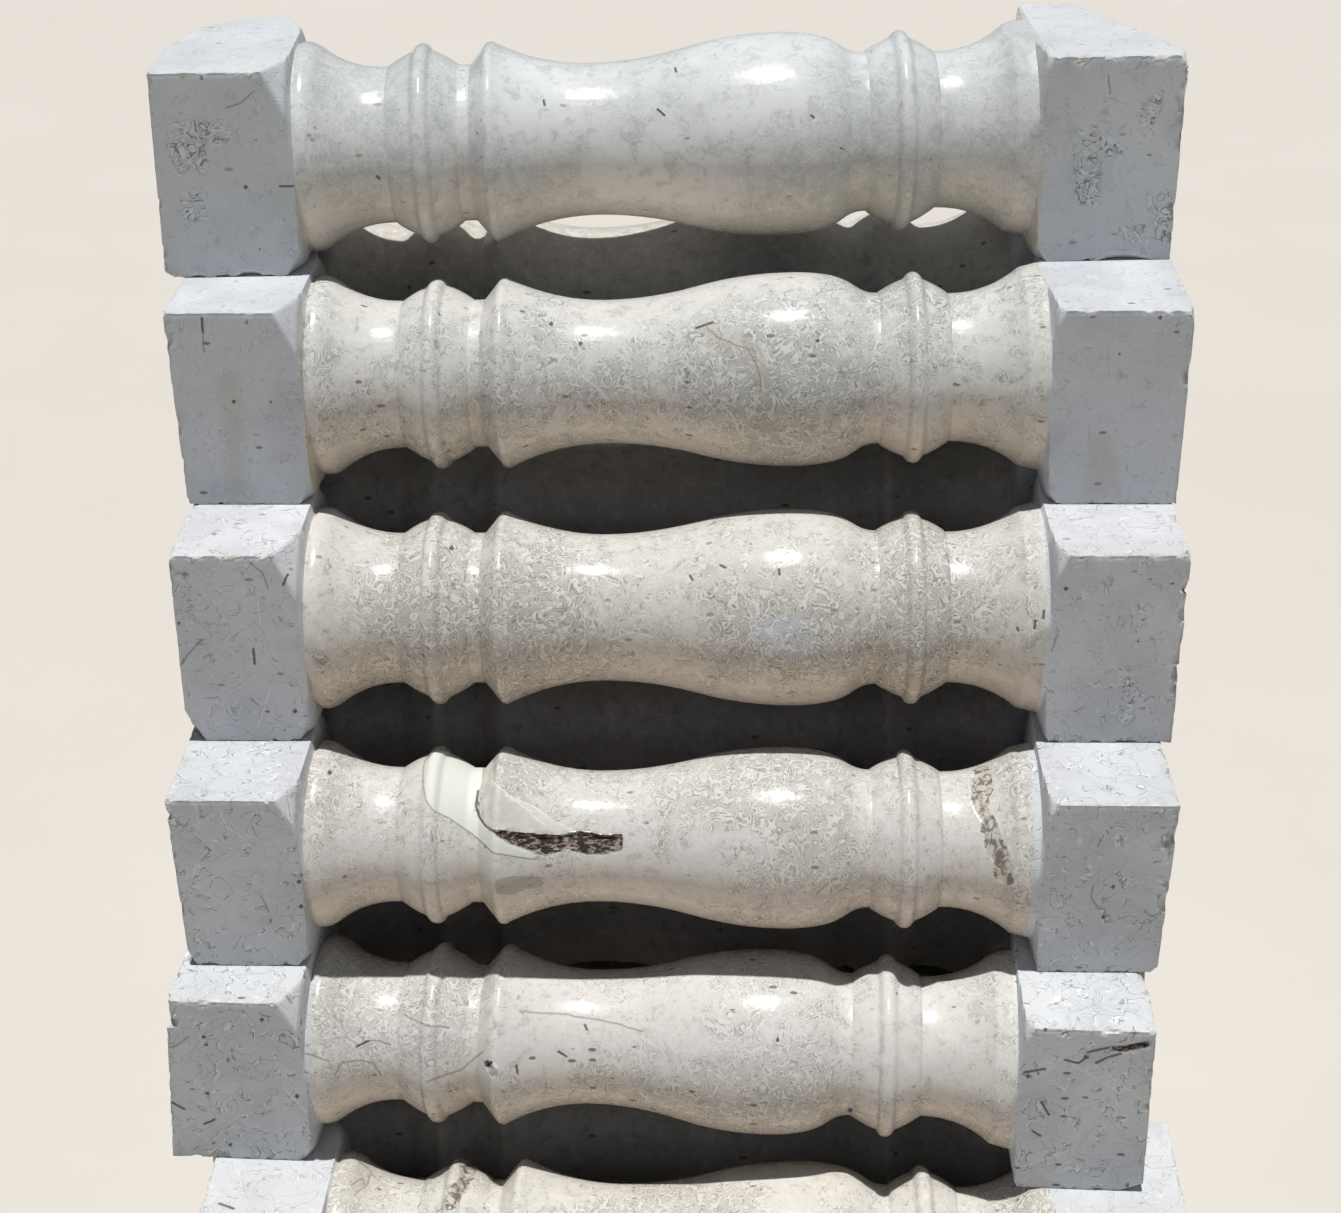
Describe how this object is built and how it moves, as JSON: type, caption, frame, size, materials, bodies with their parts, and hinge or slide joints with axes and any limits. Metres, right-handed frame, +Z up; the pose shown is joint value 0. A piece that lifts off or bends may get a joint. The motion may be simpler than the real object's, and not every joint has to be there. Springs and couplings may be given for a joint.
{
  "type": "stepped pile of turned stone balusters",
  "caption": "Loose turned limestone balusters with square end blocks, laid flat in courses that step back into a stable pile, ready to be taken for a balustrade.",
  "frame": {"origin": "under the middle of the pile's outline, on the ground", "axes": "+X along the balusters towards their bottom ends, +Y from the front of the pile to its back, +Z up"},
  "size_m": [0.7536, 0.95, 0.9],
  "materials": {
    "limestone": "shelly cream limestone, shafts polished, square blocks sawn and matt"
  },
  "bodies": {
    "root": {"course_1_baluster_1": "limestone", "course_1_baluster_2": "limestone", "course_1_baluster_3": "limestone", "course_1_baluster_4": "limestone", "course_1_baluster_5": "limestone", "course_1_baluster_6": "limestone", "course_2_baluster_1": "limestone", "course_2_baluster_2": "limestone", "course_2_baluster_3": "limestone", "course_2_baluster_4": "limestone", "course_2_baluster_5": "limestone", "course_3_baluster_1": "limestone", "course_3_baluster_2": "limestone", "course_3_baluster_3": "limestone", "course_3_baluster_4": "limestone", "course_4_baluster_1": "limestone", "course_4_baluster_2": "limestone", "course_4_baluster_3": "limestone", "course_5_baluster_1": "limestone", "course_5_baluster_2": "limestone", "course_6_baluster_1": "limestone"}
  },
  "joints": []
}
